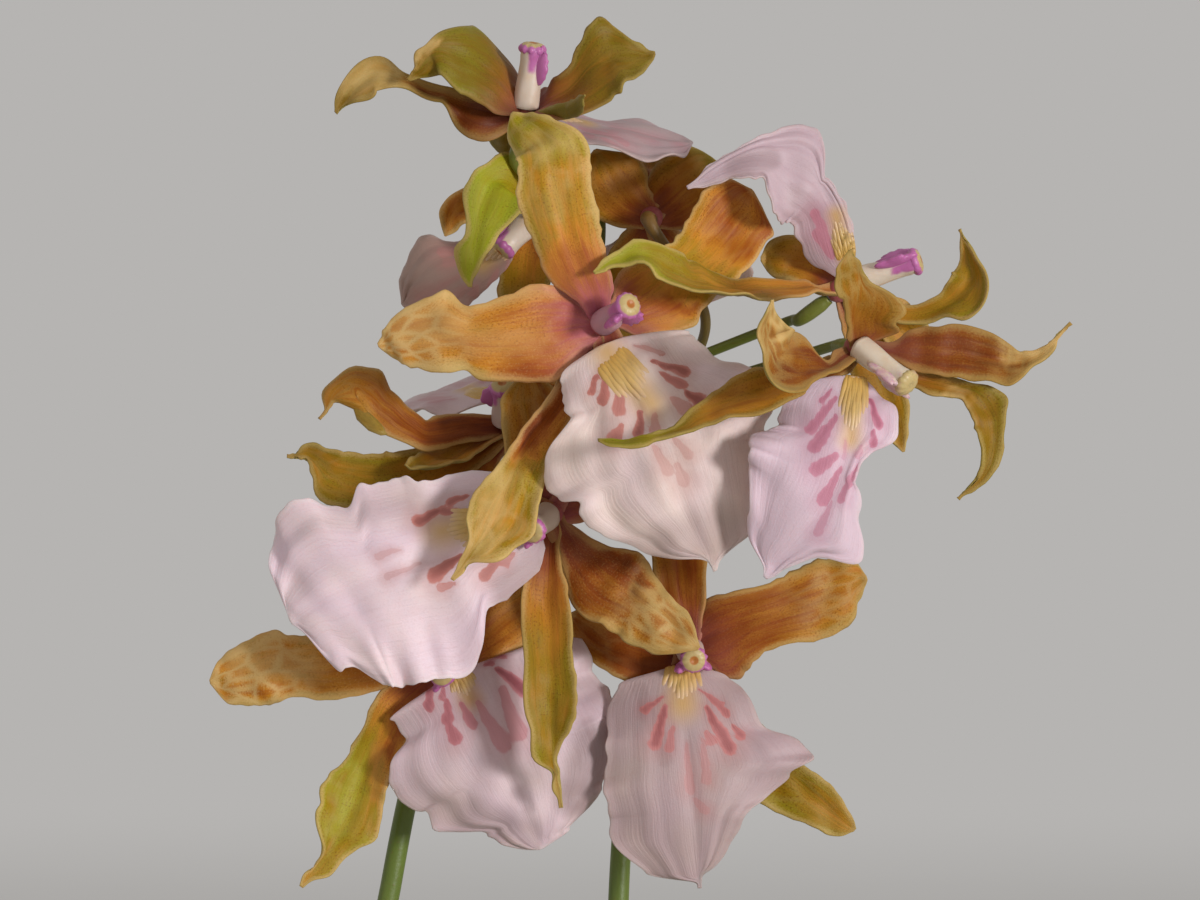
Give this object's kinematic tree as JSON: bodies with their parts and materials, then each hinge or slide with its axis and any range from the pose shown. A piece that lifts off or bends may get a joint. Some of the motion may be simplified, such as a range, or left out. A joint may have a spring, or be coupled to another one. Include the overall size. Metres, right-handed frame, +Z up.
{
  "type": "potted orchid",
  "caption": "Potted orchid with amber sepals, broad pink-white lips, strap leaves and bulbs in a plain round clay pot.",
  "frame": {"origin": "centre of the pot's flat underside, on the surface the pot stands on", "axes": "+Z up the pot's axis, +X to the right of the pictured view, -Y towards the viewer"},
  "size_m": [0.3471, 0.3121, 0.5674],
  "materials": {
    "terracotta": "matte",
    "bark": "matte",
    "rhizome": "matte",
    "bulb": "satin",
    "leaf": "satin",
    "stalk": "satin",
    "tepal": "satin",
    "lip": "satin",
    "column": "satin"
  },
  "bodies": {
    "root": {"pot": "terracotta", "medium": "bark", "rhizome": "rhizome", "bulb_1": "bulb", "bulb_2": "bulb", "bulb_3": "bulb", "bulb_4": "bulb", "leaf_1": "leaf", "leaf_2": "leaf", "leaf_3": "leaf", "leaf_4": "leaf", "leaf_5": "leaf", "leaf_6": "leaf", "leaf_7": "leaf", "leaf_8": "leaf", "leaf_9": "leaf", "leaf_10": "leaf", "leaf_11": "leaf", "leaf_12": "leaf", "scape_left": "stalk", "scape_right": "stalk", "tepals_front": "tepal", "lip_front": "lip", "column_front": "column", "tepals_left": "tepal", "lip_left": "lip", "column_left": "column", "tepals_low_left": "tepal", "lip_low_left": "lip", "column_low_left": "column", "tepals_low_right": "tepal", "lip_low_right": "lip", "column_low_right": "column", "tepals_mid_left": "tepal", "lip_mid_left": "lip", "column_mid_left": "column", "tepals_right": "tepal", "lip_right": "lip", "column_right": "column", "tepals_high_right": "tepal", "lip_high_right": "lip", "column_high_right": "column", "tepals_top": "tepal", "lip_top": "lip", "column_top": "column", "tepals_back_left": "tepal", "lip_back_left": "lip", "column_back_left": "column", "tepals_back_right": "tepal", "lip_back_right": "lip", "column_back_right": "column"}
  },
  "joints": []
}
